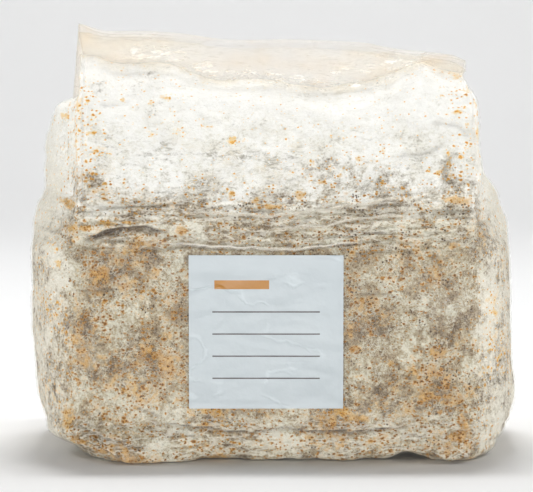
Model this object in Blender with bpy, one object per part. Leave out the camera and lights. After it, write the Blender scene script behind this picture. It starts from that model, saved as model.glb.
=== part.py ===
"""A mushroom grow bag: a block of colonised sawdust in a clear gusseted bag whose empty top is folded over behind
it, with a breather patch on the folded film and a square label on the front. Metres, +Z up, front facing -Y, base on
z = 0."""

import math

import bmesh
import bpy
from mathutils import Vector

# Height, left side, right side, half depth and middle in Y of the filled bag, from its base to its neck
PROFILE = (
    (0.000, 0.1000, 0.0990, 0.0560, 0.0000),
    (0.003, 0.1080, 0.1075, 0.0600, 0.0000),
    (0.010, 0.1145, 0.1150, 0.0630, 0.0000),
    (0.019, 0.1178, 0.1215, 0.0640, 0.0000),
    (0.030, 0.1208, 0.1242, 0.0642, 0.0000),
    (0.060, 0.1230, 0.1225, 0.0640, 0.0000),
    (0.104, 0.1240, 0.1218, 0.0637, 0.0000),
    (0.114, 0.1238, 0.1218, 0.0620, -0.0007),
    (0.1225, 0.1225, 0.1180, 0.0610, -0.0010),
    (0.130, 0.1193, 0.1150, 0.0585, -0.0015),
    (0.140, 0.1180, 0.1095, 0.0530, -0.0030),
    (0.150, 0.1172, 0.1025, 0.0475, -0.0040),
    (0.164, 0.1148, 0.0920, 0.0385, -0.0055),
    (0.176, 0.1092, 0.0895, 0.0312, -0.0073),
    (0.182, 0.0965, 0.0898, 0.0266, -0.0079),
    (0.188, 0.0940, 0.0905, 0.0215, -0.0085),
    (0.196, 0.0960, 0.0945, 0.0120, -0.0095),
    (0.2015, 0.0978, 0.0967, 0.0055, -0.0100),
    (0.2045, 0.0987, 0.0982, 0.0024, -0.0100),
)
RING_HEIGHTS = (
    0.0, 0.0015, 0.0035, 0.007, 0.012, 0.019, 0.030, 0.050, 0.075, 0.098, 0.107, 0.115, 0.1225,
    0.130, 0.140, 0.151, 0.164, 0.176, 0.182, 0.188, 0.195, 0.2005, 0.2045,
)  # rows of the filled part

# The bag is an 8 by 5 inch gusset tube: half of its front panel, and half of a side gusset
PANEL_HALF = 0.1015
GUSSET_HALF = 0.0635
CREASE_AT = PANEL_HALF / (PANEL_HALF + GUSSET_HALF)
CORNER_RADIUS = 0.048
BASE_CORNER_RADIUS, CORNER_GROWN_BY = 0.025, 0.030  # the corners are tighter at the base
CREASE_RADIUS = 0.007
FILM_WALL = 0.0003
GAP = 0.0003  # between touching pieces
MOST_MITRE = 2.0  # how far a sharp corner may move beside a flat face, when a skin is offset

PANEL_SHARES = (0.0, 0.21, 0.45, 0.70, 0.88)  # where the columns of a half panel stand
GUSSET_SHARES = (0.0, 0.2, 0.4, 0.6, 0.8, 1.0)  # and those of a half gusset, from crease to pleat

FLAP_FORM = (0.100, 0.124)  # between these heights the round body turns into the flat-fronted top
STRETCH_FROM = 0.150  # above this the rows follow the uneven crest of the block
RIDGE_MIDDLE = 0.1855
RIDGE_RISE_LEFT, RIDGE_RISE_RIGHT = 0.011, 0.005  # the crest is lowest in the middle
RIDGE_RISE_FROM, RIDGE_RISE_TO = 0.030, 0.070
NECK_ABOVE_RIDGE = 0.002
BLOCK_TOP = 0.198
CREST_FROM, CREST_CLOSES = 0.170, 0.8  # the block draws back from the film towards its crest

NECK_HALF_DEPTH = 0.0022
NECK_Y = -0.0100
FOLD_HEIGHT = 0.2003  # of the fold line at x = 0
FOLD_SLOPE = math.radians(3.7)  # it runs down to the right
CORNER_LIFT, LIFT_FROM, LIFT_TO = 0.002, 0.074, 0.099  # its left end stands up
FOLD_TURN, FOLD_LENGTH = math.radians(131), 0.010
HANG_TURN, HANG_FROM, HANG_TO = math.radians(46), 0.073, 0.129
FLAP_LENGTH = 0.186  # from the fold line to the sealed end
SEAL_WIDTH, SEAL_HALF_DEPTH = 0.008, 0.0008
STEP = 0.0005  # for following the flap's curve
FLAP_ROWS = (
    0.0, 0.002, 0.004, 0.006, 0.008, 0.010, 0.018, 0.030, 0.042, 0.054, 0.067, 0.080, 0.094,
    0.107, 0.117, 0.126, 0.143, 0.161, 0.178, FLAP_LENGTH,
)  # lengths from the fold line

WINDOW = (0.067, 0.107)  # where the film is cut, from the fold line; it is about as wide as high
PATCH_SIDE, PATCH_THICKNESS, PATCH_CELLS = 0.057, 0.0004, 8

LABEL_SIDE, LABEL_THICKNESS, LABEL_CELLS = 0.0762, 0.0002, 6
LABEL_X, LABEL_Z = -0.0036, 0.0652  # its middle


def mix(a, b, share):
    return a + (b - a) * share


def smooth(low, high, value):
    share = min(max((value - low) / (high - low), 0.0), 1.0)
    return share * share * (3 - 2 * share)


def profile(height):
    """The sides, half depth and middle at a height, on a smooth curve through PROFILE."""
    last = len(PROFILE) - 2
    i = next((k for k in range(last) if height < PROFILE[k + 1][0]), last)
    rows = [PROFILE[min(max(k, 0), last + 1)] for k in (i - 1, i, i + 1, i + 2)]
    span = rows[2][0] - rows[1][0]
    t = min(max((height - rows[1][0]) / span, 0.0), 1.0)
    values = []
    for before, here, there, after in list(zip(*rows))[1:]:
        leave = (there - before) / (rows[2][0] - rows[0][0]) * span
        arrive = (after - here) / (rows[3][0] - rows[1][0]) * span
        values.append(
            (2 * t**3 - 3 * t**2 + 1) * here
            + (t**3 - 2 * t**2 + t) * leave
            + (3 * t**2 - 2 * t**3) * there
            + (t**3 - t**2) * arrive
        )
    return values


def ridge(x):
    rise = RIDGE_RISE_RIGHT if x > 0 else RIDGE_RISE_LEFT
    return RIDGE_MIDDLE + rise * smooth(RIDGE_RISE_FROM, RIDGE_RISE_TO, abs(x))


def fold_line(x):
    return FOLD_HEIGHT - math.tan(FOLD_SLOPE) * x + CORNER_LIFT * smooth(LIFT_FROM, LIFT_TO, -x)


def crease_x(height, right):
    """How far from the middle the front panel's crease stands."""
    if right:
        return mix(0.1010, 0.1028, smooth(0.11, 0.15, height)) - 0.0048 * smooth(0.170, 0.200, height)
    return mix(0.0975, 0.0990, smooth(0.11, 0.21, height))


def quarter_point(share, side, depth, radius, crease_along):
    """A point on a quarter of a rounded outline, from the front's middle to the side's."""
    flat, arc = side - radius, radius * math.pi / 2
    total = flat + arc + depth - radius
    if share <= CREASE_AT:
        along = crease_along * share / CREASE_AT
    else:
        along = mix(crease_along, total, (share - CREASE_AT) / (1 - CREASE_AT))
    if along < flat:
        return along, depth
    if along < flat + arc:
        turn = (along - flat) / radius
        return flat + radius * math.sin(turn), depth - radius * (1 - math.cos(turn))
    return side, depth - radius - (along - flat - arc)


def body_quarter(share, side, depth, height):
    radius = mix(BASE_CORNER_RADIUS, CORNER_RADIUS, smooth(0.0, CORNER_GROWN_BY, height))
    return quarter_point(share, side, depth, min(radius, 0.8 * depth), min(PANEL_HALF, 0.83 * side))


def top_quarter(share, crease, pleat, depth):
    """The flat-fronted top: the panel out to its crease, then the gusset, whose middle stands at the pleat."""
    radius = min(CREASE_RADIUS, depth)
    x, y = quarter_point(share, crease, depth, radius, crease - radius)
    gusset = max(share - CREASE_AT, 0.0) / (1 - CREASE_AT)
    return x + (pleat - crease) * math.sin(gusset * math.pi / 2) ** 2, y


def ring_point(share, right, back, height):
    """A point of the filled bag's outer face at a height."""
    left_side, right_side, depth, middle = profile(height)
    side = right_side if right else left_side
    bx, by = body_quarter(share, side, depth, height)
    tx, ty = top_quarter(share, crease_x(height, right), side, depth)
    form = smooth(*FLAP_FORM, height)
    x, y = mix(bx, tx, form), mix(by, ty, form)
    x = x if right else -x
    stretch = (ridge(x) + NECK_ABOVE_RIDGE - STRETCH_FROM) / (PROFILE[-1][0] - STRETCH_FROM)
    z = min(height, STRETCH_FROM) + max(height - STRETCH_FROM, 0.0) * stretch
    return Vector((x, middle + (y if back else -y), z))


def flap_turn(length):
    """How far the film has turned from straight up, at a length past the fold line."""
    return FOLD_TURN * smooth(0.0, FOLD_LENGTH, length) + HANG_TURN * smooth(HANG_FROM, HANG_TO, length)


def flap_path():
    """How far up and back the folded film has come at each STEP past the fold line."""
    path, up, back = [], 0.0, 0.0
    for k in range(int(FLAP_LENGTH / STEP) + 2):
        path.append((up, back))
        turn = flap_turn((k + 0.5) * STEP)
        up += math.cos(turn) * STEP
        back += math.sin(turn) * STEP
    return path


FLAP_PATH = flap_path()


def flap_point(x, length, offset):
    """A point of the flattened top past the fold line, offset backwards from its middle as it stood unfolded."""
    foot_x = x - length * math.sin(FOLD_SLOPE)
    k = min(int(length / STEP), len(FLAP_PATH) - 2)
    up, back = (mix(FLAP_PATH[k][n], FLAP_PATH[k + 1][n], length / STEP - k) for n in (0, 1))
    turn = flap_turn(length)
    up -= math.sin(turn) * offset
    back += math.cos(turn) * offset
    rise = up * math.cos(FOLD_SLOPE)
    return Vector((foot_x + up * math.sin(FOLD_SLOPE), NECK_Y + back, fold_line(foot_x) + rise))


def columns():
    """The columns of the whole ring as (share, right, back), from the front's middle round by the right side."""
    panel = [CREASE_AT * s for s in PANEL_SHARES]
    gusset = [CREASE_AT + (1 - CREASE_AT) * s for s in GUSSET_SHARES]
    quarter = panel + gusset
    ring = [(s, True, False) for s in quarter]
    ring += [(s, True, True) for s in reversed(quarter[:-1])]
    ring += [(s, False, True) for s in quarter[1:]]
    ring += [(s, False, False) for s in reversed(quarter[1:-1])]
    return ring


def film_rows():
    """One list of points for each row of the film's outer face, from the base to the sealed end."""
    ring = columns()
    rows = [[ring_point(*column, height) for column in ring] for height in RING_HEIGHTS]
    for length in FLAP_ROWS:
        depth = mix(NECK_HALF_DEPTH, SEAL_HALF_DEPTH, smooth(FLAP_LENGTH - SEAL_WIDTH, FLAP_LENGTH, length))
        row = []
        for share, right, back in ring:
            crease = crease_x(PROFILE[-1][0], right)
            x, offset = top_quarter(share, crease, crease, depth)
            row.append(flap_point(x if right else -x, length, offset if back else -offset))
        rows.append(row)
    return rows


def tube(rows):
    """A tube of triangles through rows of points, closed flat at both ends. Its vertices know row and column."""
    bm = bmesh.new()
    count = len(rows[0])
    bmesh.ops.create_grid(bm, x_segments=count, y_segments=len(rows) - 1, size=1.0)
    row_of, column_of = (bm.verts.layers.int.new(name) for name in ("row", "column"))
    for vert in bm.verts:
        vert[column_of] = round((vert.co.x + 1) / 2 * count) % count
        vert[row_of] = round((vert.co.y + 1) / 2 * (len(rows) - 1))
        vert.co = rows[vert[row_of]][vert[column_of]]
    bmesh.ops.remove_doubles(bm, verts=bm.verts[:], dist=0.00002)
    bmesh.ops.holes_fill(bm, edges=[e for e in bm.edges if e.is_boundary], sides=0)
    bmesh.ops.recalc_face_normals(bm, faces=bm.faces[:])
    bmesh.ops.triangulate(bm, faces=bm.faces[:], quad_method="FIXED")
    return bm


def shrink(bm, distance):
    """Moves every face of a closed body inwards."""
    bm.normal_update()
    steps = [v.normal * distance * min(v.calc_shell_factor(), MOST_MITRE) for v in bm.verts]
    for vert, step in zip(bm.verts, steps):
        vert.co -= step


def close_sheet(bm, outside):
    """Gives an open sheet its second face, and the rim between them. outside holds each point's opposite."""
    opposite = {v.co.copy().freeze(): point for v, point in zip(bm.verts, outside)}
    made = bmesh.ops.extrude_face_region(bm, geom=bm.faces[:])["geom"]
    for vert in [v for v in made if isinstance(v, bmesh.types.BMVert)]:
        vert.co = opposite[vert.co.copy().freeze()]
    bmesh.ops.recalc_face_normals(bm, faces=bm.faces[:])


def material(name, colour, roughness, alpha=1.0):
    made = bpy.data.materials.new(name)
    made.use_nodes = True
    shader = made.node_tree.nodes["Principled BSDF"]
    shader.inputs["Base Color"].default_value = (*colour, 1.0)
    shader.inputs["Roughness"].default_value = roughness
    shader.inputs["Metallic"].default_value = 0.0
    shader.inputs["Alpha"].default_value = alpha
    return made


def add(name, bm, made):
    mesh = bpy.data.meshes.new(name)
    bm.to_mesh(mesh)
    bm.free()
    mesh.materials.append(made)
    mesh.shade_smooth()
    mesh.set_sharp_from_angle(angle=math.radians(40))
    bpy.context.scene.collection.objects.link(bpy.data.objects.new(name, mesh))


def make_block():
    """The block fills the bag up to the neck, a gap inside the film, and closes in a rounded crest."""
    rows = []
    for height in [h for h in RING_HEIGHTS if h < BLOCK_TOP]:
        middle = profile(height)[3]
        close = math.sqrt(1 - CREST_CLOSES * smooth(CREST_FROM, BLOCK_TOP, height))
        points = [ring_point(*column, height) for column in columns()]
        rows.append([Vector((p.x * mix(1.0, close, 0.1), mix(middle, p.y, close), p.z)) for p in points])
    bm = tube(rows)
    shrink(bm, FILM_WALL + GAP)
    add("substrate_block", bm, material("colonised substrate", (0.62, 0.54, 0.42), 0.8))


def open_window(bm):
    """Deletes the film's faces under the patch: one column each side of the middle of the front panel."""
    row_of, column_of = (bm.verts.layers.int[name] for name in ("row", "column"))
    first, last = (len(RING_HEIGHTS) + FLAP_ROWS.index(length) for length in WINDOW)
    near = (0, 1, len(columns()) - 1)
    inside = {v for v in bm.verts if first <= v[row_of] <= last and v[column_of] in near}
    bmesh.ops.delete(bm, geom=[f for f in bm.faces if inside.issuperset(f.verts)], context="FACES")


def make_bag():
    """The film as one closed wall: an outer and an inner skin that meet only round the window under the patch."""
    bm = tube(film_rows())
    inner = bm.copy()
    shrink(inner, FILM_WALL)
    bmesh.ops.reverse_faces(inner, faces=inner.faces[:])
    for skin in (bm, inner):
        open_window(skin)
    mesh = bpy.data.meshes.new("inner skin")
    inner.to_mesh(mesh)
    inner.free()
    bm.from_mesh(mesh)
    bpy.data.meshes.remove(mesh)
    bmesh.ops.bridge_loops(bm, edges=[e for e in bm.edges if e.is_boundary])
    bmesh.ops.recalc_face_normals(bm, faces=bm.faces[:])
    add("grow_bag", bm, material("clear film", (0.86, 0.83, 0.76), 0.25, 0.3))


def make_patch():
    """The breather patch lies on the folded film, over the window."""
    bm = bmesh.new()
    bmesh.ops.create_grid(bm, x_segments=PATCH_CELLS, y_segments=PATCH_CELLS, size=PATCH_SIDE / 2)
    outside = []
    for vert in bm.verts:
        x, length = vert.co.x, vert.co.y + sum(WINDOW) / 2
        vert.co = flap_point(x, length, -NECK_HALF_DEPTH - GAP)
        outside.append(flap_point(x, length, -NECK_HALF_DEPTH - GAP - PATCH_THICKNESS))
    close_sheet(bm, outside)
    add("filter_patch", bm, material("filter cloth", (0.85, 0.86, 0.85), 0.9))


def make_label():
    """The label follows the bag's front, a gap in front of the film."""
    bm = bmesh.new()
    bmesh.ops.create_grid(bm, x_segments=LABEL_CELLS, y_segments=LABEL_CELLS, size=LABEL_SIDE / 2)
    outside = []
    for vert in bm.verts:
        x, height = vert.co.x + LABEL_X, vert.co.y + LABEL_Z
        depth, middle = profile(height)[2:]
        vert.co = (x, middle - depth - GAP, height)
        outside.append((x, middle - depth - GAP - LABEL_THICKNESS, height))
    close_sheet(bm, outside)
    add("label", bm, material("label stock", (0.66, 0.71, 0.73), 0.35))


for thing in list(bpy.data.objects):
    bpy.data.objects.remove(thing, do_unlink=True)
make_block()
make_bag()
make_patch()
make_label()
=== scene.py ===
"""The looks of the mushroom grow bag: the colonised block and its film, lofted row by row with their folds
and wrinkles, the breather patch and the label. Metres, +Z up, front facing -Y, base on z = 0."""

import math

import bmesh
import bpy
import numpy as np
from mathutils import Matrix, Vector, noise


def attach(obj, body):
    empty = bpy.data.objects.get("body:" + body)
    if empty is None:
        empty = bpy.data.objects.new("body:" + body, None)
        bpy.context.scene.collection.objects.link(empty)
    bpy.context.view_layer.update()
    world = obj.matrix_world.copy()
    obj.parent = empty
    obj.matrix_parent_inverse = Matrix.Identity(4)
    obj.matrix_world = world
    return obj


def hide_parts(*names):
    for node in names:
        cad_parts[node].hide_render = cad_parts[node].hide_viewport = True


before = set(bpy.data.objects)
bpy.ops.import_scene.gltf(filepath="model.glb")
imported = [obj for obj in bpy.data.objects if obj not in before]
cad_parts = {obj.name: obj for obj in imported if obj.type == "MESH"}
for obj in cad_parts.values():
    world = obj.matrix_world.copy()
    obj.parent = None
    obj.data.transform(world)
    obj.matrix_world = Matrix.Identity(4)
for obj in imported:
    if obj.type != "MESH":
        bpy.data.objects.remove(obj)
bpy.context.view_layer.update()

# Height, left side, right side, half depth and middle in Y of the filled bag, from its base to its neck
PROFILE = np.array((
    (0.000, 0.1000, 0.0990, 0.0560, 0.0000),
    (0.003, 0.1080, 0.1075, 0.0600, 0.0000),
    (0.007, 0.1125, 0.1120, 0.0622, 0.0000),
    (0.012, 0.1155, 0.1165, 0.0635, 0.0000),
    (0.019, 0.1178, 0.1215, 0.0640, 0.0000),
    (0.030, 0.1208, 0.1244, 0.0642, 0.0000),
    (0.045, 0.1220, 0.1238, 0.0642, 0.0000),
    (0.062, 0.1230, 0.1222, 0.0640, 0.0000),
    (0.085, 0.1238, 0.1215, 0.0640, 0.0000),
    (0.104, 0.1240, 0.1218, 0.0637, 0.0000),
    (0.110, 0.1240, 0.1223, 0.0622, -0.0005),
    (0.116, 0.1238, 0.1213, 0.0618, -0.0008),
    (0.1225, 0.1225, 0.1178, 0.0610, -0.0010),
    (0.129, 0.1193, 0.1160, 0.0590, -0.0015),
    (0.140, 0.1180, 0.1095, 0.0530, -0.0030),
    (0.150, 0.1172, 0.1025, 0.0475, -0.0040),
    (0.1593, 0.1163, 0.0940, 0.0410, -0.0050),
    (0.1655, 0.1143, 0.0905, 0.0375, -0.0057),
    (0.1717, 0.1117, 0.0895, 0.0340, -0.0066),
    (0.1772, 0.1084, 0.0895, 0.0305, -0.0074),
    (0.1815, 0.0968, 0.0897, 0.0272, -0.0079),
    (0.188, 0.0940, 0.0905, 0.0215, -0.0085),
    (0.196, 0.0960, 0.0945, 0.0120, -0.0095),
    (0.2015, 0.0978, 0.0967, 0.0055, -0.0100),
    (0.2045, 0.0987, 0.0982, 0.0024, -0.0100),
))
BODY_TOP = PROFILE[-1, 0]
BLOCK_TOP = 0.2035

# An 8 by 5 inch gusset tube: half of its front panel, and half of a side gusset
PANEL_HALF = 0.1015
GUSSET_HALF = 0.0635
QUARTER = PANEL_HALF + GUSSET_HALF
CORNER_RADIUS = 0.048
BASE_CORNER_RADIUS, CORNER_GROWN_BY = 0.025, 0.030  # the corners are tighter at the base
CREASE_RADIUS = 0.0035
ROUND_CREASE = 0.83  # where the tube's crease lies round the filled body, as a share of its half width

FORM_FROM, FORM_TO = 0.100, 0.124  # between these heights the round body turns into the flat-fronted top
STRETCH_FROM = 0.150  # above this the rows follow the uneven crest of the block
NECK_ABOVE_RIDGE = 0.001

# How high the block's crest stands, and the top of the film's fold, both along X
RIDGE = np.array((
    (-0.1050, 0.1985), (-0.0885, 0.1988), (-0.0800, 0.1958), (-0.0693, 0.1955), (-0.0557, 0.1953),
    (-0.0471, 0.1927), (-0.0400, 0.1894), (-0.0324, 0.1868), (-0.0062, 0.1866), (0.0110, 0.1848),
    (0.0292, 0.1837), (0.0362, 0.1854), (0.0499, 0.1874), (0.0600, 0.1905), (0.0691, 0.1940),
    (0.0751, 0.1958), (0.0847, 0.1925), (0.1050, 0.1895),
))
CREST = np.array((
    (-0.1040, 0.2165), (-0.0982, 0.2156), (-0.0883, 0.2126), (-0.0679, 0.2120), (-0.0475, 0.2108),
    (-0.0297, 0.2082), (0.0137, 0.2076), (0.0361, 0.2066), (0.0489, 0.2056), (0.0560, 0.2040),
    (0.0672, 0.2024), (0.0769, 0.2017), (0.0835, 0.2007), (0.0927, 0.1992), (0.0985, 0.1965),
    (0.1040, 0.1945),
))
NECK_Y = -0.0100
NECK_HALF_DEPTH = 0.0022
FOLD_SLOPE = math.radians(3.7)  # it runs down to the right
FOLD_TURN, FOLD_LENGTH = math.radians(131), 0.007
HANG_TURN, HANG_FROM, HANG_TO = math.radians(46), 0.071, 0.127
FLAP_LENGTH = 0.186
SEAL_WIDTH = 0.008
SEAL_FROM = FLAP_LENGTH - SEAL_WIDTH
SEAL_RIB, SEAL_RIB_WIDTH = 0.00012, 0.0011
GROWN_ROWS = 14  # how many of the flap's first rows mycelium has reached
STEP = 0.0005  # for following the flap's curve

MERGED_WITHIN = 0.00002  # points of a loft this close are one
FILM_GAP = 0.0005  # between the film and the block
CREST_LIFT = 0.0006  # of the block's last edge
SHARP_ANGLE = math.radians(50)  # past which a sheet's edges are shaded sharp
LABEL_SIDE, LABEL_THICKNESS, LABEL_CELLS = 0.0762, 0.00018, 90
LABEL_X, LABEL_Z = -0.0036, 0.0652
LABEL_GAP = 0.0006  # in front of the film
BAR = (-0.012, 0.0235, 0.0135, 0.0022)  # on the label: its middle along X and Z, half its width and height
RULES, RULE_HALF_WIDTH, RULE_HALF_HEIGHT = (0.010, -0.001, -0.012, -0.023), 0.0265, 0.00033
PATCH_SIDE, PATCH_THICKNESS, PATCH_CELLS, PATCH_MIDDLE = 0.057, 0.0004, 70, 0.087
PATCH_GAP, PATCH_PUFF = 0.0006, 0.0012
INK_BLUR = 0.00008
DOT_SIZE = 0.0015  # about how far apart the block's dark dots are
BONDING_STEP = 0.0024  # between the bonding points of the breather cloth

# The floor's start in front, its flat length, its bend up into the wall, its whole length, half its width
SWEEP_FROM, SWEEP_FLAT, SWEEP_RADIUS, SWEEP_RUN, SWEEP_HALF_WIDTH = -3.0, 4.2, 0.9, 7.0, 4.0
# Each lamp's power in watts, its size, its place and what it points at. The small one overhead stands a
# little behind and draws the shadow's front edge. The low panels light the front and the sides.
LAMPS = (
    ("overhead", 9.0, (0.40, 0.15), (0.0, 0.30, 1.30), (0.0, 0.0, 0.0)),
    ("high left", 4.5, (0.4, 0.4), (-1.1, 0.2, 1.0), (0.0, 0.0, 0.0)),
    ("high right", 4.5, (0.4, 0.4), (1.1, 0.2, 1.0), (0.0, 0.0, 0.0)),
    ("front panel", 47.0, (2.4, 0.12), (0.0, -2.5, 0.09), (0.0, 0.0, 0.12)),
    ("left panel", 7.0, (0.9, 0.2), (-1.6, -0.4, 0.11), (0.0, 0.0, 0.12)),
    ("right panel", 8.0, (0.9, 0.2), (1.6, -0.4, 0.11), (0.0, 0.0, 0.12)),
    ("sweep light", 15.0, (2.4, 0.6), (0.0, 0.9, 1.9), (0.0, 2.0, 0.2)),
)
CAMERA_TARGET, CAMERA_DISTANCE = (-0.0034, -0.064, 0.1078), 1.3
CAMERA_ELEVATION, CAMERA_LENS = math.radians(6.0), 178.6

# The folds on the front: a line along X and Z, how far the film stands out above it and draws in below it,
# how far each reaches, how bright a highlight is painted along its edge, and how dark a shade is painted
# below it
FOLDS = (
    (((-0.0975, 0.1085), (-0.0915, 0.1113), (-0.0854, 0.1148), (-0.0795, 0.1162), (-0.0741, 0.1170),
      (-0.0682, 0.1175), (-0.0620, 0.1172), (-0.0559, 0.1152), (-0.0490, 0.1142)),
     0.0026, 0.0028, 0.0070, 0.0034, 0.05, 1.0),
    (((-0.0930, 0.1108), (-0.0885, 0.1124), (-0.0835, 0.1140), (-0.0785, 0.1148), (-0.0720, 0.1160)),
     0.0003, 0.0016, 0.0012, 0.0014, 0.0, 1.3),
    (((-0.0880, 0.1096), (-0.0820, 0.1112), (-0.0770, 0.1110), (-0.0700, 0.1125)),
     0.0010, 0.0012, 0.0020, 0.0014, 0.1, 0.5),
    (((-0.0608, 0.1093), (-0.0430, 0.1081), (-0.0288, 0.1074), (-0.0017, 0.1060), (0.0131, 0.1062),
      (0.0244, 0.1071), (0.0353, 0.1086), (0.0486, 0.1110)), 0.0012, 0.0014, 0.0018, 0.0012, 1.0, 1.0),
    (((-0.0504, 0.1238), (-0.0361, 0.1243), (-0.0164, 0.1228), (-0.0017, 0.1218), (0.0131, 0.1243),
      (0.0279, 0.1262), (0.0426, 0.1282), (0.0549, 0.1301), (0.0707, 0.1311)),
     0.0016, 0.0018, 0.0040, 0.0036, 0.60, 0.30),
    (((-0.0050, 0.1150), (0.0130, 0.1165), (0.0279, 0.1180), (0.0397, 0.1205), (0.0565, 0.1224),
      (0.0690, 0.1224)),
     0.0012, 0.0012, 0.0026, 0.0024, 0.60, 0.30),
    (((0.0660, 0.1305), (0.0772, 0.1344), (0.0837, 0.1397), (0.0828, 0.1435), (0.0859, 0.1493),
      (0.0905, 0.1541)), 0.0008, 0.0007, 0.0024, 0.0026, 0.25, 0.15),
    (((-0.0913, 0.1301), (-0.0755, 0.1277), (-0.0558, 0.1287), (-0.0411, 0.1301)),
     0.0006, 0.0010, 0.0020, 0.0020, 0.2, 0.3),
    (((-0.0636, 0.0197), (-0.0502, 0.0192), (-0.0363, 0.0177), (-0.0111, 0.0151), (0.0033, 0.0172),
      (0.0221, 0.0161), (0.0429, 0.0156), (0.0553, 0.0172), (0.0785, 0.0187)),
     0.0008, 0.0015, 0.0022, 0.0014, 0.15, 1.2),
    (((-0.0992, 0.0187), (-0.0864, 0.0146), (-0.0725, 0.0115), (-0.0592, 0.0110)),
     0.0008, 0.0014, 0.0020, 0.0013, 0.1, 1.1),
    (((-0.0507, 0.0161), (-0.0364, 0.0126)), 0.0003, 0.0007, 0.0015, 0.0010, 0.1, 0.6),
    (((-0.1040, 0.0150), (-0.0960, 0.0118), (-0.0900, 0.0085), (-0.0835, 0.0050), (-0.0740, 0.0035)),
     0.0020, 0.0034, 0.0050, 0.0030, 0.1, 0.8),
    (((0.0628, 0.0131), (0.0761, 0.0136)), 0.0003, 0.0007, 0.0015, 0.0010, 0.1, 0.7),
    (((0.0790, 0.0028), (0.0860, 0.0045), (0.0922, 0.0057), (0.1030, 0.0085)),
     0.0014, 0.0026, 0.0025, 0.0018, 0.1, 0.9),
    (((0.0430, 0.1140), (0.0564, 0.1142)), 0.0002, 0.0009, 0.0010, 0.0010, 0.3, 1.0),
    (((0.0380, 0.0846), (0.0525, 0.0840), (0.0660, 0.0825)), 0.0003, 0.0007, 0.0012, 0.0010, 0.1, 0.8),
    (((0.0353, 0.0671), (0.0447, 0.0656)), 0.0003, 0.0006, 0.0012, 0.0010, 0.1, 0.6),
    (((-0.1002, 0.0860), (-0.0854, 0.0860), (-0.0746, 0.0875)), 0.0006, 0.0012, 0.0025, 0.0022, 0.1, 0.6),
    (((-0.0700, 0.0295), (-0.0635, 0.0262), (-0.0556, 0.0228)), 0.0004, 0.0010, 0.0015, 0.0012, 0.2, 0.9),
    (((-0.0880, 0.1768), (-0.0700, 0.1773)), 0.0003, 0.0006, 0.0015, 0.0012, 0.1, 0.25),
    (((0.0770, 0.1687), (0.0904, 0.1671), (0.0977, 0.1622)), 0.0005, 0.0008, 0.0015, 0.0015, 0.1, 0.25),
    (((0.0602, 0.1517), (0.0776, 0.1541), (0.0860, 0.1574)), 0.0004, 0.0007, 0.0015, 0.0015, 0.1, 0.3),
)
# Swellings and dents of the front: X, Z, how far they reach along each, and how far they stand out
SWELLINGS = (
    (-0.0720, 0.0040, 0.0280, 0.0110, 0.0110),
    (0.0910, 0.0050, 0.0120, 0.0090, 0.0080),
    (0.0340, 0.0040, 0.0300, 0.0090, 0.0040),
    (0.0710, 0.0000, 0.0110, 0.0045, -0.0026),
    (0.0895, 0.1290, 0.0120, 0.0045, -0.0040),
    (-0.0750, 0.1200, 0.0200, 0.0060, 0.0015),
    (0.0300, 0.1170, 0.0350, 0.0050, -0.0010),
)

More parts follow.
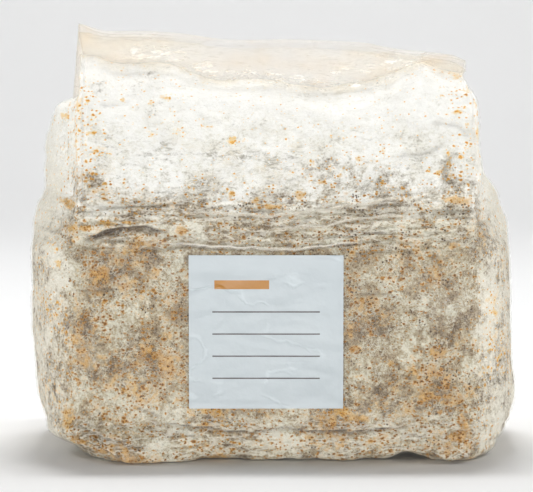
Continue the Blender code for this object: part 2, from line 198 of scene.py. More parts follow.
# What the block shows through the film: each mark's X and Z, its reach along each, in mm, and its strength
MARKS = {
    "rust": (
        (-105, 170, 3.4, 1.6, 1.2), (-103, 127, 5.4, 3.4, 1.2), (-106, 133, 1.5, 2, 0.8),
        (-100, 116, 6.4, 4.4, 0.9), (-96, 178, 2, 5.9, 0.5), (-96, 159, 2, 6.9, 0.6),
        (-95, 142, 2.5, 5.9, 0.6), (-89, 180, 6.9, 2, 0.5), (-89, 169, 6.9, 3.9, 0.4),
        (-90, 162, 4.9, 2, 0.9), (-87, 153, 6.4, 3.9, 0.5), (-90, 141, 5.9, 5.9, 0.6),
        (-83, 131, 4.4, 2.5, 0.6), (-80, 128, 1.5, 1.2, 1), (-86, 130, 1, 2, 1), (-75, 178, 1.5, 1, 1),
        (-65, 183, 1.5, 1, 0.8), (-60, 176, 2.5, 1, 0.8), (-55, 179, 3.9, 1.5, 0.8), (-33, 165, 3.4, 1.3, 1),
        (-21, 159, 3.4, 2, 1), (-47, 164, 1.5, 1.5, 0.8), (-62, 161, 2.5, 2, 0.5),
        (-53, 120, 3.9, 2.5, 0.6), (-45, 115, 3, 3.4, 0.9), (-21, 133, 3, 2, 0.9), (-8, 130, 5.9, 2, 1),
        (-1, 127, 6.9, 2, 1.2), (13, 132, 3.4, 2, 1), (19, 148, 2, 1.5, 0.7), (28, 145, 6.9, 3, 0.6),
        (36, 152, 2, 1, 0.7), (42, 150, 3, 1.5, 0.6), (54, 153, 1.5, 2.5, 0.7), (33, 142, 2, 1.5, 0.7),
        (40, 142, 1, 1, 0.9), (24, 139, 2, 1.5, 0.9), (28, 136, 2.5, 3, 0.8), (60, 145, 1.5, 1.5, 0.8),
        (58, 136, 1.5, 1.5, 0.7), (51, 133, 1.2, 1.7, 1), (85, 180, 1.7, 1.2, 1), (89, 177, 2, 1.5, 0.6),
        (91, 172, 3.9, 1.5, 1), (99, 182, 2, 1.5, 0.7), (100, 176, 1.5, 3.9, 0.7), (97, 166, 1.5, 1, 0.9),
        (87, 150, 1.6, 5, 1), (82, 144, 2, 1.5, 1), (76, 144, 2.5, 2, 0.6), (87, 142, 2.5, 2, 0.8),
        (90, 130, 9.8, 3, 0.9), (89, 193, 5.9, 1.5, 0.7), (90, 118, 3.9, 3, 0.6), (89, 108, 3, 3.9, 0.7),
        (-84, 105, 9.8, 4.9, 0.6), (-84, 94, 12.8, 7.4, 0.8), (-107, 97, 1.5, 3, 1),
        (-100, 111, 4.9, 3, 0.6), (-105, 65, 5.9, 4.9, 0.6), (-93, 60, 4.9, 5.9, 0.6),
        (-60, 54, 6.9, 3.4, 1), (-105, 17, 6.9, 3.9, 0.6), (39, 90, 6.9, 9.8, 0.6), (40, 56, 3.9, 2.5, 0.9),
        (72, 72, 2.5, 2, 0.9), (81, 56, 6.9, 4.9, 0.8), (71, 46, 5.9, 4.9, 0.8), (59, 50, 3.9, 2.5, 0.9),
        (113, 50, 2.5, 3, 0.8), (107, 41, 3.9, 3.9, 0.6), (79, 38, 10.8, 5.9, 0.7), (62, 29, 3.4, 2, 0.8),
        (43, 21, 7.9, 3, 0.9), (91, 13, 6.9, 4.9, 0.9), (-71, 81, 14.8, 4.9, 0.4), (-29, 15, 9.8, 3.9, 0.4),
        (-98, 165, 1, 34, 0.8), (101, 163, 1.2, 16, 0.6), (100, 190, 3, 3, 0.9), (93, 189, 4, 2, 0.7),
        (-92, 116, 6, 2, 1), (-82, 118.5, 6, 1.8, 1), (-71, 119.5, 6, 1.8, 0.9), (-62, 120, 5, 1.4, 0.8),
        (-102, 20, 5, 6, 0.8), (-96, 10, 6, 3, 1), (-86, 6, 6, 2.5, 1), (-62, 15, 8, 3, 0.6),
    ),
    # Some dark marks are painted shade: (-89, 112), (-76, 115) and (-61, 114) under the left fold's lip, and
    # (91, 128) in the right pocket.
    "umber": (
        (-103, 127, 3.6, 2.2, 1.1), (-99, 118, 2.4, 4, 0.7), (7, 129, 2, 2.5, 1),
        (91, 128, 7.9, 1.2, 0.6), (94, 112, 5.9, 3.9, 0.5),
        (-70, 58, 3, 2.5, 1), (-48, 74, 6.9, 7.9, 0.9), (-86, 17, 3.9, 2.5, 0.7), (49, 104, 12.8, 6.9, 0.6),
        (88, 62, 7.9, 3.9, 0.4), (-29, 133, 3, 3, 0.7), (39, 133, 2.5, 2, 0.6), (-3, 116, 2.5, 2.5, 0.9),
        (0, 112, 2, 2, 1), (-32, 116, 1.5, 3, 1), (77, 118, 14.8, 5.9, 0.3), (-89, 112, 5.9, 1.5, 1),
        (-76, 115, 9.8, 1.5, 0.9), (-61, 114, 7.9, 1, 0.6), (-84, 86, 11.8, 2, 0.7),
        (-100, 117, 3.9, 2.5, 0.5), (51, 133, 1.5, 2, 0.5), (-56, 101, 6.9, 3.9, 0.5),
        (43, 100, 4.9, 9.8, 0.5), (-51, 86, 5.9, 4.9, 0.4), (66, 81, 11.8, 8.9, 0.3),
        (-46, 41, 7.9, 6.9, 0.4), (13, 20, 7.9, 2.5, 0.3),
    ),
    "grey": (
        (-55, 155, 6.9, 4.4, 0.8), (-71, 158, 3.9, 3.4, 0.5), (-62, 145, 4.9, 3, 0.6),
        (-54, 141, 4.4, 3.4, 0.9), (-16, 152, 10.8, 3.9, 0.8), (-31, 152, 6.9, 2.5, 0.7),
        (-37, 137, 8.9, 5.9, 0.9), (-51, 133, 15.7, 3.9, 0.5), (-68, 129, 12.8, 1.5, 0.6),
        (2, 148, 13.8, 5.4, 0.8), (10, 137, 7.9, 3.9, 0.9), (44, 135, 7.9, 3.4, 1),
        (28, 140, 12.3, 4.9, 0.4), (-16, 140, 6.9, 4.9, 0.4), (54, 127, 6.9, 3, 0.7), (60, 117, 2, 2, 1),
        (-23, 115, 5.4, 3, 0.5), (13, 119, 14.8, 4.9, 0.6), (38, 119, 19.7, 4.9, 0.4),
        (-12, 113, 5.9, 3.9, 0.7), (28, 111, 14.8, 3, 0.6), (86, 76, 9.8, 6.9, 0.5),
        (-94, 52, 5.9, 4.9, 0.6), (96, 80, 6.9, 4.9, 0.4), (-100, 141, 3.9, 4.9, 0.25),
        (-90, 125, 3.4, 3.4, 0.2),
    ),
    "pale": (
        (-110, 104, 3.9, 5.9, 0.8), (-72, 40, 6.9, 4.9, 0.5), (-47, 21, 7.9, 3.9, 0.4),
        (7, 12, 10.8, 3.4, 0.3), (33, 10, 5.9, 3, 0.3), (101, 17, 3.9, 3.9, 0.4), (-85, 79, 14.8, 3, 0.4),
        (-104, 151, 3.9, 9.8, 0.8), (-16, 109, 19.7, 1, 0.7), (72, 86, 4.9, 11.8, 0.3),
        (-12, 123, 29.5, 1.5, 0.7), (107, 66, 4.9, 34.4, 0.5), (-61, 81, 6.9, 5.9, 0.4),
        (-21, 21, 9.8, 3, 0.5), (-50, 25, 30, 4, 0.45), (40, 25, 30, 4, 0.45), (0, 9, 60, 4, 0.4),
        (-40, 104, 30, 3, 0.4), (50, 106, 25, 3, 0.4),
    ),
}


def smooth(low, high, value):
    share = np.clip((value - low) / (high - low), 0.0, 1.0)
    return share * share * (3 - 2 * share)


def mix(a, b, share):
    return a + (b - a) * share


def bell(away, reach):
    """1 where away is 0, falling off softly over a reach."""
    return np.exp(-((away / reach) ** 2))


def spot(x, z, at_x, at_z, wide, high):
    """1 at a spot of the front, falling off softly over its reach along X and along Z."""
    return np.exp(-(((x - at_x) / wide) ** 2) - ((z - at_z) / high) ** 2)


def curve(table, at):
    """Values on smooth cubic pieces through a table's rows, whose first column is where they stand."""
    knots, values = table[:, 0], table[:, 1:]
    slopes = np.gradient(values, knots, axis=0)
    i = np.clip(np.searchsorted(knots, at) - 1, 0, len(knots) - 2)
    span = knots[i + 1] - knots[i]
    t = np.clip((at - knots[i]) / span, 0.0, 1.0)
    here, leave = 2 * t**3 - 3 * t**2 + 1, (t**3 - 2 * t**2 + t) * span
    there, arrive = 3 * t**2 - 2 * t**3, (t**3 - t**2) * span
    return [
        here * values[i, n] + leave * slopes[i, n] + there * values[i + 1, n] + arrive * slopes[i + 1, n]
        for n in range(values.shape[1])
    ]


def stretches(*runs):
    """Rising values at even steps along runs of (start, end, steps)."""
    parts = [np.linspace(start, end, steps, endpoint=False) for start, end, steps in runs]
    return np.concatenate(parts + [[runs[-1][1]]])


def quarters(around):
    """How far round its quarter each column stands, from the panel's middle to the gusset's pleat, with the
    side it is on and whether it is behind. around runs from the middle of the back by the left, front and
    right."""
    behind = np.abs(around) > QUARTER
    way = np.where(behind, 2 * QUARTER - np.abs(around), np.abs(around))
    return way, np.where(around > 0, 1.0, -1.0), behind


def rounded(along, side, depth, radius):
    """A quarter of a rounded outline, from the front's middle to the side's."""
    flat, arc = side - radius, radius * math.pi / 2
    turn = np.clip((along - flat) / radius, 0.0, math.pi / 2)
    x = np.minimum(along, flat) + radius * np.sin(turn)
    return x, depth - radius * (1 - np.cos(turn)) - np.maximum(along - flat - arc, 0.0)


def quarter_along(way, crease, total):
    """Where a column of the flat tube comes along an outline, with the crease at a stated place."""
    past = (way - PANEL_HALF) / GUSSET_HALF
    return np.where(way <= PANEL_HALF, crease * way / PANEL_HALF, mix(crease, total, past))


def crease_x(height, right):
    """Where the folded edge between panel and gusset stands, which leans a little with height."""
    left_crease = mix(0.0975, 0.0990, smooth(0.11, 0.21, height))
    right_crease = mix(0.1010, 0.1034, smooth(0.11, 0.15, height)) - 0.0054 * smooth(0.186, BODY_TOP, height)
    return np.where(right > 0, right_crease, left_crease)


def body_point(way, right, behind, height):
    """The filled bag's outer face. Arrays go in and come out."""
    left_side, right_side, depth, middle = curve(PROFILE, height)
    side = np.where(right > 0, right_side, left_side)
    radius = mix(BASE_CORNER_RADIUS, CORNER_RADIUS, smooth(0.0, CORNER_GROWN_BY, height))
    radius = np.minimum(radius, 0.8 * depth)
    total = side - radius + radius * math.pi / 2 + depth - radius
    crease = np.minimum(PANEL_HALF, ROUND_CREASE * side)
    round_x, round_y = rounded(quarter_along(way, crease, total), side, depth, radius)

    crease = crease_x(height, right)
    radius = np.minimum(CREASE_RADIUS, depth)
    total = crease - radius + radius * math.pi / 2 + depth - radius
    top_x, top_y = rounded(quarter_along(way, crease - radius, total), crease, depth, radius)
    gusset = np.clip((way - PANEL_HALF) / GUSSET_HALF, 0.0, 1.0)
    top_x = top_x + (side - crease) * np.sin(gusset * math.pi / 2) ** 2

    form = smooth(FORM_FROM, FORM_TO, height)
    x = mix(round_x, top_x, form) * right
    y = mix(round_y, top_y, form)
    stretch = (curve(RIDGE, x)[0] + NECK_ABOVE_RIDGE - STRETCH_FROM) / (BODY_TOP - STRETCH_FROM)
    z = np.minimum(height, STRETCH_FROM) + np.maximum(height - STRETCH_FROM, 0.0) * stretch
    return np.stack((x, middle + np.where(behind, y, -y), z), axis=-1)


def flap_turn(length):
    """How far the film has turned from straight up, at a length past the fold line."""
    return FOLD_TURN * smooth(0.0, FOLD_LENGTH, length) + HANG_TURN * smooth(HANG_FROM, HANG_TO, length)


FLAP_STEPS = np.arange(0.0, FLAP_LENGTH + STEP, STEP)
FLAP_UP = np.concatenate([[0.0], np.cumsum(np.cos(flap_turn(FLAP_STEPS + STEP / 2)) * STEP)[:-1]])
FLAP_BACK = np.concatenate([[0.0], np.cumsum(np.sin(flap_turn(FLAP_STEPS + STEP / 2)) * STEP)[:-1]])
FOLD_RISE = (FLAP_UP + np.sin(flap_turn(FLAP_STEPS)) * NECK_HALF_DEPTH).max()


def flap_point(x, length, offset):
    """The flattened top past the fold line, offset backwards from its middle as it stood unfolded."""
    foot_x = x - length * math.sin(FOLD_SLOPE)
    turn = flap_turn(length)
    up = np.interp(length, FLAP_STEPS, FLAP_UP) - np.sin(turn) * offset
    back = np.interp(length, FLAP_STEPS, FLAP_BACK) + np.cos(turn) * offset
    height = curve(CREST, foot_x)[0] - FOLD_RISE
    x, z = foot_x + up * math.sin(FOLD_SLOPE), height + up * math.cos(FOLD_SLOPE)
    return np.stack((x, NECK_Y + back, z), axis=-1)


def pleated(way, right, behind, depth):
    """X and offset of the flattened tube's four layers: the panels outside, the gussets tucked in between."""
    crease = crease_x(BODY_TOP, right)
    tuck = np.clip((way - PANEL_HALF) / GUSSET_HALF, 0.0, 1.0)
    x = np.where(way <= PANEL_HALF, crease * way / PANEL_HALF, crease - GUSSET_HALF * tuck)
    inner = 0.30 * (1 - smooth(0.85, 1.0, tuck)) + 0.70 * np.exp(-12 * tuck) * (1 - tuck)
    offset = depth * np.where(way <= PANEL_HALF, 1.0, inner)
    return x * right, np.where(behind, offset, -offset)


def flap_wave(x, length):
    """How far the hanging flap stands off its plain curve, away from the block."""
    places = np.stack(np.broadcast_arrays(x, length, 0.0), axis=-1)
    sway = 0.5 + 0.5 * crinkle(places, 0.075, 2, seed=3.0)
    creases = crinkle(places, 0.022, 3, seed=8.0, stretch=(2.2, 0.8, 1.0))
    return -smooth(0.012, 0.07, length) * (0.0045 * sway + 0.0007 * creases)


def flap_rows(around, lengths):
    """Rows of the folded top, which is sealed flat at its end."""
    way, right, behind = quarters(around[None, :])
    lengths = lengths[:, None]
    pressed = smooth(SEAL_FROM - 0.006, SEAL_FROM, lengths)
    depth = NECK_HALF_DEPTH * (1 - pressed * 0.85)
    depth = depth * (lengths < FLAP_LENGTH)
    x, offset = pleated(way, right, behind, depth)
    x, lengths = np.broadcast_arrays(x, lengths)
    ribs = SEAL_RIB * np.sin(lengths / SEAL_RIB_WIDTH * math.pi) * (lengths > SEAL_FROM)
    return flap_point(x, lengths, offset + flap_wave(x, lengths) + ribs)


def base_rows(around, shares):
    """Rings of the underside, from its middle out to the first body row."""
    way, right, behind = quarters(around[None, :])
    rim = body_point(way, right, behind, np.zeros_like(way))
    return rim * shares[:, None, None]


def body_rows(around, heights):
    """Rows of the filled body, one for each height."""
    way, right, behind = quarters(around[None, :])
    return body_point(way + 0.0 * heights[:, None], right, behind, heights[:, None] + 0.0 * way)


def facing(points):
    """The outward direction at each point of a closed loft."""
    down_the_rows = np.gradient(points, axis=0)
    padded = np.concatenate([points[:, -2:-1], points, points[:, 1:2]], axis=1)
    round_the_ring = (padded[:, 2:] - padded[:, :-2]) / 2
    out = np.cross(round_the_ring, down_the_rows)
    return out / np.maximum(np.linalg.norm(out, axis=-1, keepdims=True), 1e-12)


def crinkle(points, size, octaves=3, seed=0.0, stretch=(1.0, 1.0, 1.0)):
    """Soft noise from about -1 to 1 at each point. Its lumps are about size across, drawn out by stretch."""
    places = points.reshape(-1, 3) / (size * np.array(stretch)) + seed
    values = [noise.fractal(place, 1.0, 2.0, octaves) for place in places.tolist()]
    return np.array(values).reshape(points.shape[:-1])


def beside_line(x, z, line):
    """How far each place is from a line of points, which side of it, and how far along it, from 0 to 1."""
    line = np.array(line)
    steps = np.linalg.norm(np.diff(line, axis=0), axis=1)
    nearest, side, share, gone = np.full(x.shape, 9.0), np.zeros(x.shape), np.zeros(x.shape), 0.0
    for start, end, step in zip(line[:-1], line[1:], steps):
        run = (end - start) / step
        along = np.clip((x - start[0]) * run[0] + (z - start[1]) * run[1], 0.0, step)
        dx, dz = x - start[0] - along * run[0], z - start[1] - along * run[1]
        reach = np.hypot(dx, dz)
        closer = reach < nearest
        nearest = np.where(closer, reach, nearest)
        side = np.where(closer, run[0] * dz - run[1] * dx, side)
        share = np.where(closer, (gone + along) / steps.sum(), share)
        gone += step
    return nearest, np.sign(side), share


def front_relief(points):
    """The named folds, swellings and dents of the front, with how strong the highlight painted along a fold's
    edge and the shade painted under one are at each place."""
    x, z = points[..., 0], points[..., 2]
    wavy = z + 0.0010 * crinkle(points, 0.010, 4, seed=33.0)
    uneven = 1 + 0.50 * crinkle(points, 0.008, 2, seed=35.0) + 0.45 * crinkle(points, 0.003, 2, seed=36.0)
    out, edge, under = np.zeros(x.shape), np.zeros(x.shape), np.zeros(x.shape)
    for line, rise, drop, up_reach, down_reach, painted_highlight, shade in FOLDS:
        reach, side, share = beside_line(x, wavy, line)
        over, below = rise * bell(reach, up_reach), -drop * bell(reach, down_reach)
        ends = smooth(0.0, 0.18, share) * smooth(1.0, 0.82, share)
        across = smooth(-0.0004, 0.0004, side * reach)
        out += mix(below, over, across) * ends * uneven
        # edge is a painted highlight along the fold's top; under is a painted shade below it
        edge = np.maximum(edge, bell(side * reach - 0.0003, 0.0005) * ends * painted_highlight)
        shadow = bell(reach, 0.6 * down_reach + 0.0003)
        under = np.maximum(under, (1 - across) * shadow * ends * shade)
    for at_x, at_z, wide, high, amount in SWELLINGS:
        out += amount * spot(x, z, at_x, at_z, wide, high)
    return out, edge * np.clip(1.1 * uneven, 0.15, 1.0), under


def beside_label(x, z):
    """1 under the label, falling to 0 a little outside it."""
    reach = np.maximum(np.abs(x - LABEL_X), np.abs(z - LABEL_Z)) - LABEL_SIDE / 2
    return smooth(0.004, 0.0, reach)


def relief(points, way, right, behind, height):
    """How far the filled bag stands off its plain form, for film and block alike, with the highlight painted
    along the folds' edges and the shade painted under them."""
    x, z = points[..., 0], points[..., 2]
    depth, middle = curve(PROFILE, height)[2:]
    front = smooth(0.30, 0.62, (middle - points[..., 1]) / depth) * ~behind
    named, edge, under = front_relief(points)
    label = beside_label(x, z) * front
    lumps = 0.0017 * crinkle(points, 0.055, 2, seed=1.3) + 0.0008 * crinkle(points, 0.019, 2, seed=5.1)
    small = 0.00035 * crinkle(points, 0.006, 2, seed=2.7)
    low = smooth(0.034, 0.008, z)
    gathers = 0.0015 * low * crinkle(points, 0.009, 3, seed=4.4, stretch=(2.6, 2.6, 0.45))
    band = smooth(0.100, 0.108, z) * smooth(0.138, 0.126, z) * front
    gathers = gathers + 0.0014 * band * crinkle(points, 0.007, 3, seed=14.4, stretch=(3.2, 3.2, 0.4))
    beside = smooth(0.085, 0.108, np.abs(x)) * smooth(0.010, 0.030, z) * smooth(0.135, 0.105, z)
    ribs = 0.00012 * beside * crinkle(points, 0.0042, 2, seed=6.2, stretch=(0.8, 0.8, 9.0))
    shoulder = smooth(0.115, 0.150, z) * (1 - front)
    drapes = 0.0010 * shoulder * crinkle(points, 0.016, 3, seed=7.7, stretch=(1.0, 2.2, 0.7))
    neck = smooth(0.165, 0.185, z)
    pulls = 0.0005 * neck * crinkle(points, 0.012, 3, seed=9.9, stretch=(3.0, 1.0, 0.5))
    slack = (1 - 0.85 * label) * (1 - 0.8 * smooth(0.185, 0.2, z))
    out = named * front * (1 - label) + (lumps + small + gathers + ribs + drapes) * slack + pulls
    # The folded edges between panels and gussets stand out as fins, from the shoulders up
    stands = smooth(0.108, 0.122, height) * np.where(right > 0, 0.35 + 0.65 * smooth(0.16, 0.18, height), 1.0)
    fin = bell(way - PANEL_HALF, 0.0011) * stands * smooth(BODY_TOP, 0.19, height)
    open_front = front * (1 - label)
    return out + 0.0010 * fin, edge * open_front, under * open_front


def marks_at(kind, x, z, front):
    """The named marks of one kind on the front."""
    out = np.zeros(x.shape)
    for at_x, at_z, wide, high, strength in MARKS[kind]:
        mark = spot(x, z, at_x / 1000, at_z / 1000, wide / 1000, high / 1000)
        out = np.maximum(out, strength * mark)
    return out * front


def block_marks(points, way, behind, height, edge, under):
    """What the block shows at each point: how white, rusty, dark, grey and streaked it is, its sides, its
    fresh top, its last rim, the highlight painted along the folds' edges and the shade painted under them."""
    x, z = points[..., 0], points[..., 2]
    front = smooth(QUARTER, PANEL_HALF + 0.025, way) * ~behind
    bend_x, bend_z = (0.0018 * crinkle(points, 0.006, 3, seed=s) for s in (11.0, 13.0))
    marks = {kind: marks_at(kind, x + bend_x, z + bend_z, front) for kind in MARKS}
    sagging = 0.011 * bell(x - 0.035, 0.034) * front
    wavy = z + 0.010 * crinkle(points, 0.030, 3, seed=17.0) - sagging
    white = 0.36 * smooth(0.105, 0.127, wavy) + 0.64 * smooth(0.126, 0.149, wavy)
    side = smooth(0.092, 0.114, np.abs(x) + 0.005 * crinkle(points, 0.014, 3, seed=19.0))
    rust = 0.50 + 0.55 * crinkle(points, 0.026, 3, seed=21.0)
    by_crease = bell(np.abs(x) - 0.096, 0.009) * smooth(0.195, 0.180, z) * smooth(0.110, 0.125, z)
    rust = np.clip(rust, 0.1, 0.85) * (1 - 0.85 * white)
    dark = 0.45 * smooth(0.0, 0.5, crinkle(points, 0.030, 3, seed=25.0)) * (1 - white) * (1 - side)
    grey = 0.62 * smooth(-0.3, 0.40, crinkle(points, 0.022, 3, seed=29.0)) * smooth(0.176, 0.150, z) * white
    laid = np.maximum(smooth(0.103, 0.112, z) * smooth(0.146, 0.128, z), smooth(0.030, 0.014, z))
    rim = smooth(BODY_TOP - 0.006, BODY_TOP, height + 0.004 * crinkle(points, 0.008, 3, seed=37.0))
    return {
        # The sides are whitened: partly white mycelium, partly a painted sheen where the film at the edges
        # catches light.
        "white": np.clip(np.maximum(white, marks["pale"] * 0.6) + 0.60 * side, 0, 1),
        "rust": np.maximum(rust * (1 - 0.35 * side), 1.3 * marks["rust"]),
        "specks": 0.54 * by_crease,
        "umber": np.maximum(dark, marks["umber"]),
        "grey": np.maximum(grey * (1 - 0.4 * front), marks["grey"]),
        "side": side,
        "fresh": smooth(0.160, 0.180, z + 0.006 * crinkle(points, 0.015, 3, seed=39.0)),
        "dull": np.maximum(side * smooth(0.190, 0.125, z), smooth(0.135, 0.112, z)),
        "laid": laid * (1 - side),
        "edge": edge,
        "under": under,
        "rim": rim,
    }


def loft(name, points, values):
    """A mesh piece through rows of points, round a closed ring. values are numbers to keep at each point."""
    rows, columns = points.shape[:2]
    bm = bmesh.new()
    bmesh.ops.create_grid(bm, x_segments=columns - 1, y_segments=rows - 1, size=1.0)
    mesh = bpy.data.meshes.new(name)
    bm.to_mesh(mesh)
    flat = np.empty(rows * columns * 3, dtype=np.float32)
    mesh.vertices.foreach_get("co", flat)
    flat = flat.reshape(-1, 3)
    column = np.rint((flat[:, 0] + 1) / 2 * (columns - 1)).astype(int)
    row = np.rint((flat[:, 1] + 1) / 2 * (rows - 1)).astype(int)
    mesh.vertices.foreach_set("co", points[row, column].astype(np.float32).ravel())
    for key, value in values.items():
        attribute = mesh.attributes.new(key, "FLOAT", "POINT")
        attribute.data.foreach_set("value", value[row, column].astype(np.float32))
    bm.clear()
    bm.from_mesh(mesh)
    bmesh.ops.remove_doubles(bm, verts=bm.verts[:], dist=MERGED_WITHIN)
    bmesh.ops.holes_fill(bm, edges=[e for e in bm.edges if e.is_boundary], sides=0)
    bmesh.ops.recalc_face_normals(bm, faces=bm.faces[:])
    bmesh.ops.triangulate(bm, faces=[f for f in bm.faces if len(f.verts) > 4])
    return place_piece(name, bm, mesh)


def add_object(name, data):
    made = bpy.data.objects.new(name, data)
    bpy.context.scene.collection.objects.link(made)
    return made


def smooth_object(name, bm, mesh=None):
    """Turns a bmesh into a smooth-shaded object."""
    mesh = mesh or bpy.data.meshes.new(name)
    bm.to_mesh(mesh)
    bm.free()
    mesh.shade_smooth()
    return add_object(name, mesh)


def place_piece(name, bm, mesh=None):
    """Turns a bmesh into a smooth-shaded piece that rides on the root."""
    piece = smooth_object(name, bm, mesh)
    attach(piece, "root")
    return piece


def sheet_grid(cells, side):
    """A square grid with its points' two coordinates, and how near each point is to the grid's edge, at 1."""
    bm = bmesh.new()
    bmesh.ops.create_grid(bm, x_segments=cells, y_segments=cells, size=side / 2)
    flat = np.array([v.co for v in bm.verts])
    return bm, flat[:, 0], flat[:, 1], np.maximum(np.abs(flat[:, 0]), np.abs(flat[:, 1])) / (side / 2)


def sheet_piece(name, bm, places, outward, thickness, values):
    """A grid moved to its places and made a solid sheet. outward says where along Y its outer face looks."""
    layers = [(bm.verts.layers.float.new(key), value) for key, value in values.items()]
    for v, place in zip(bm.verts, places):
        v.co = place
    for layer, value in layers:
        for v, kept in zip(bm.verts, value):
            v[layer] = kept
    bmesh.ops.recalc_face_normals(bm, faces=bm.faces[:])
    if bm.faces[0].normal.y * outward < 0:
        bmesh.ops.reverse_faces(bm, faces=bm.faces[:])
    bmesh.ops.solidify(bm, geom=bm.faces[:], thickness=thickness)
    bmesh.ops.recalc_face_normals(bm, faces=bm.faces[:])
    piece = place_piece(name, bm)
    piece.data.set_sharp_from_angle(angle=SHARP_ANGLE)
    return piece


class Recipe:
    """One material, built node by node."""

    def __init__(self, name):
        self.material = bpy.data.materials.new(name)
        self.material.use_nodes = True
        self.tree = self.material.node_tree
        self.tree.nodes.clear()
        self.place = self.node("TexCoord").outputs["Object"]

    def node(self, kind, inputs=(), **settings):
        made = self.tree.nodes.new("ShaderNode" + kind)
        for key, value in settings.items():
            setattr(made, key, value)
        for key, value in dict(inputs).items():
            self.give(made.inputs[key], value)
        return made

    def give(self, socket, value):
        if isinstance(value, bpy.types.NodeSocket):
            self.tree.links.new(value, socket)
        else:
            socket.default_value = value

    def cloud(self, size, detail=4.0, roughness=0.55, place=None, warp=0.0, out="Fac"):
        """Soft noise whose lumps are about size across."""
        wires = {"Vector": place or self.place, "Scale": 1 / size, "Detail": detail, "Roughness": roughness}
        wires["Distortion"] = warp
        return self.node("TexNoise", wires).outputs[out]

    def cells(self, size, place=None, feature="F1", out="Distance"):
        """Scattered points about size apart: the distance from the nearest, or each one's own colour."""
        wires = {"Vector": place or self.place, "Scale": 1 / size}
        return self.node("TexVoronoi", wires, feature=feature).outputs[out]

    def sums(self, operation, a, b=0.0):
        return self.node("Math", {0: a, 1: b}, operation=operation).outputs[0]

    def times(self, a, b):
        return self.sums("MULTIPLY", a, b)

    def plus(self, a, b):
        return self.sums("ADD", a, b)

    def sum_of(self, *parts):
        """Noises added up by their weights, round a middle of 0.5."""
        total = 0.5 - 0.5 * sum(weight for _, weight in parts)
        for value, weight in parts:
            total = self.plus(total, self.times(value, weight))
        return total

    def stirred(self, value, cloud, weight):
        """value made uneven by a noise."""
        return self.plus(value, self.times(self.plus(cloud, -0.5), weight))

    def between(self, value, low, high, to_low=0.0, to_high=1.0):
        """value rescaled, smoothly, so that low gives to_low and high gives to_high."""
        wires = {"Value": value, "From Min": low, "From Max": high, "To Min": to_low, "To Max": to_high}
        return self.node("MapRange", wires, interpolation_type="SMOOTHSTEP").outputs["Result"]

    def blend(self, share, a, b):
        made = self.node("Mix", data_type="RGBA", blend_type="MIX")
        self.give(made.inputs[0], share)
        self.give(made.inputs[6], a)
        self.give(made.inputs[7], b)
        return made.outputs[2]

    def paint(self, under, mask, strength, colour):
        """A colour laid over another where a mask says, up to a strength."""
        return self.blend(self.times(mask, strength), under, colour)

    def ramp(self, value, *stops):
        """A colour that runs through stops of (place, colour)."""
        made = self.node("ValToRGB", {0: value})
        points = made.color_ramp.elements
        while len(points) < len(stops):
            points.new(1.0)
        for point, (at, shade) in zip(points, stops):
            point.position, point.color = at, shade
        return made.outputs[0]

    def threads(self, size, place, width):
        """Thin lines that wander through soft noise: 1 in their middle, 0 from a width on."""
        away = self.sums("ABSOLUTE", self.plus(self.cloud(size, 2.0, 0.5, place), -0.5))
        return self.between(away, width, 0.0)

    def kept(self, name):
        """A number that the mesh keeps at each point."""
        return self.node("Attribute", attribute_name=name).outputs["Fac"]

    def warped(self, size, reach):
        """The object's own coordinates, bent by noise, so that what reads them gets uneven outlines."""
        bend = {0: self.cloud(size, 3.0, out="Color"), 1: (0.5, 0.5, 0.5)}
        bend = self.node("VectorMath", bend, operation="SUBTRACT")
        bend = self.node("VectorMath", {0: bend.outputs[0], "Scale": reach}, operation="SCALE")
        return self.node("VectorMath", {0: self.place, 1: bend.outputs[0]}, operation="ADD").outputs[0]

    def drawn(self, scale, place=None):
        """Coordinates drawn out along an axis by a scale under 1."""
        return self.node("Mapping", {"Vector": place or self.place, "Scale": scale}).outputs[0]

    def bump(self, height, strength, distance):
        return self.node("Bump", {"Height": height, "Strength": strength, "Distance": distance}).outputs[0]

    def surface(self, **inputs):
        """A Principled shader, by its sockets' names with _ for a space."""
        wires = {key.replace("_", " "): value for key, value in inputs.items()}
        return self.node("BsdfPrincipled", wires).outputs[0]

    def show(self, shader):
        self.node("OutputMaterial", {"Surface": shader})
        return self.material


def screen(r, g, b):
    """A colour of the screen's 0 to 255 scale, as the light that it stands for."""
    return tuple(((v / 255 + 0.055) / 1.055) ** 2.4 if v > 10 else v / 3295 for v in (r, g, b)) + (1.0,)


# Where the meshes' columns and rows stand
COLUMNS = stretches(
    (-2 * QUARTER, -QUARTER - GUSSET_HALF, 48), (-QUARTER - GUSSET_HALF, -QUARTER, 24),
    (-QUARTER, -PANEL_HALF, 32), (-PANEL_HALF, PANEL_HALF, 190), (PANEL_HALF, QUARTER, 32),
    (QUARTER, QUARTER + GUSSET_HALF, 24), (QUARTER + GUSSET_HALF, 2 * QUARTER, 48),
)
BLOCK_HEIGHTS = stretches((0.0, 0.022, 24), (0.022, 0.103, 68), (0.103, 0.135, 64), (0.135, BLOCK_TOP, 60))
FILM_HEIGHTS = stretches((0.0, 0.022, 20), (0.022, 0.103, 50), (0.103, 0.135, 58), (0.135, BODY_TOP, 46))
BASE_SHARES = np.array((0.0, 0.3, 0.6, 0.82, 0.94))
NECK_LIFTS = stretches((0.0, 1.0, 7))
FLAP_LENGTHS = stretches((0.0, 0.014, 12), (0.014, SEAL_FROM, 26), (SEAL_FROM, FLAP_LENGTH, 9))


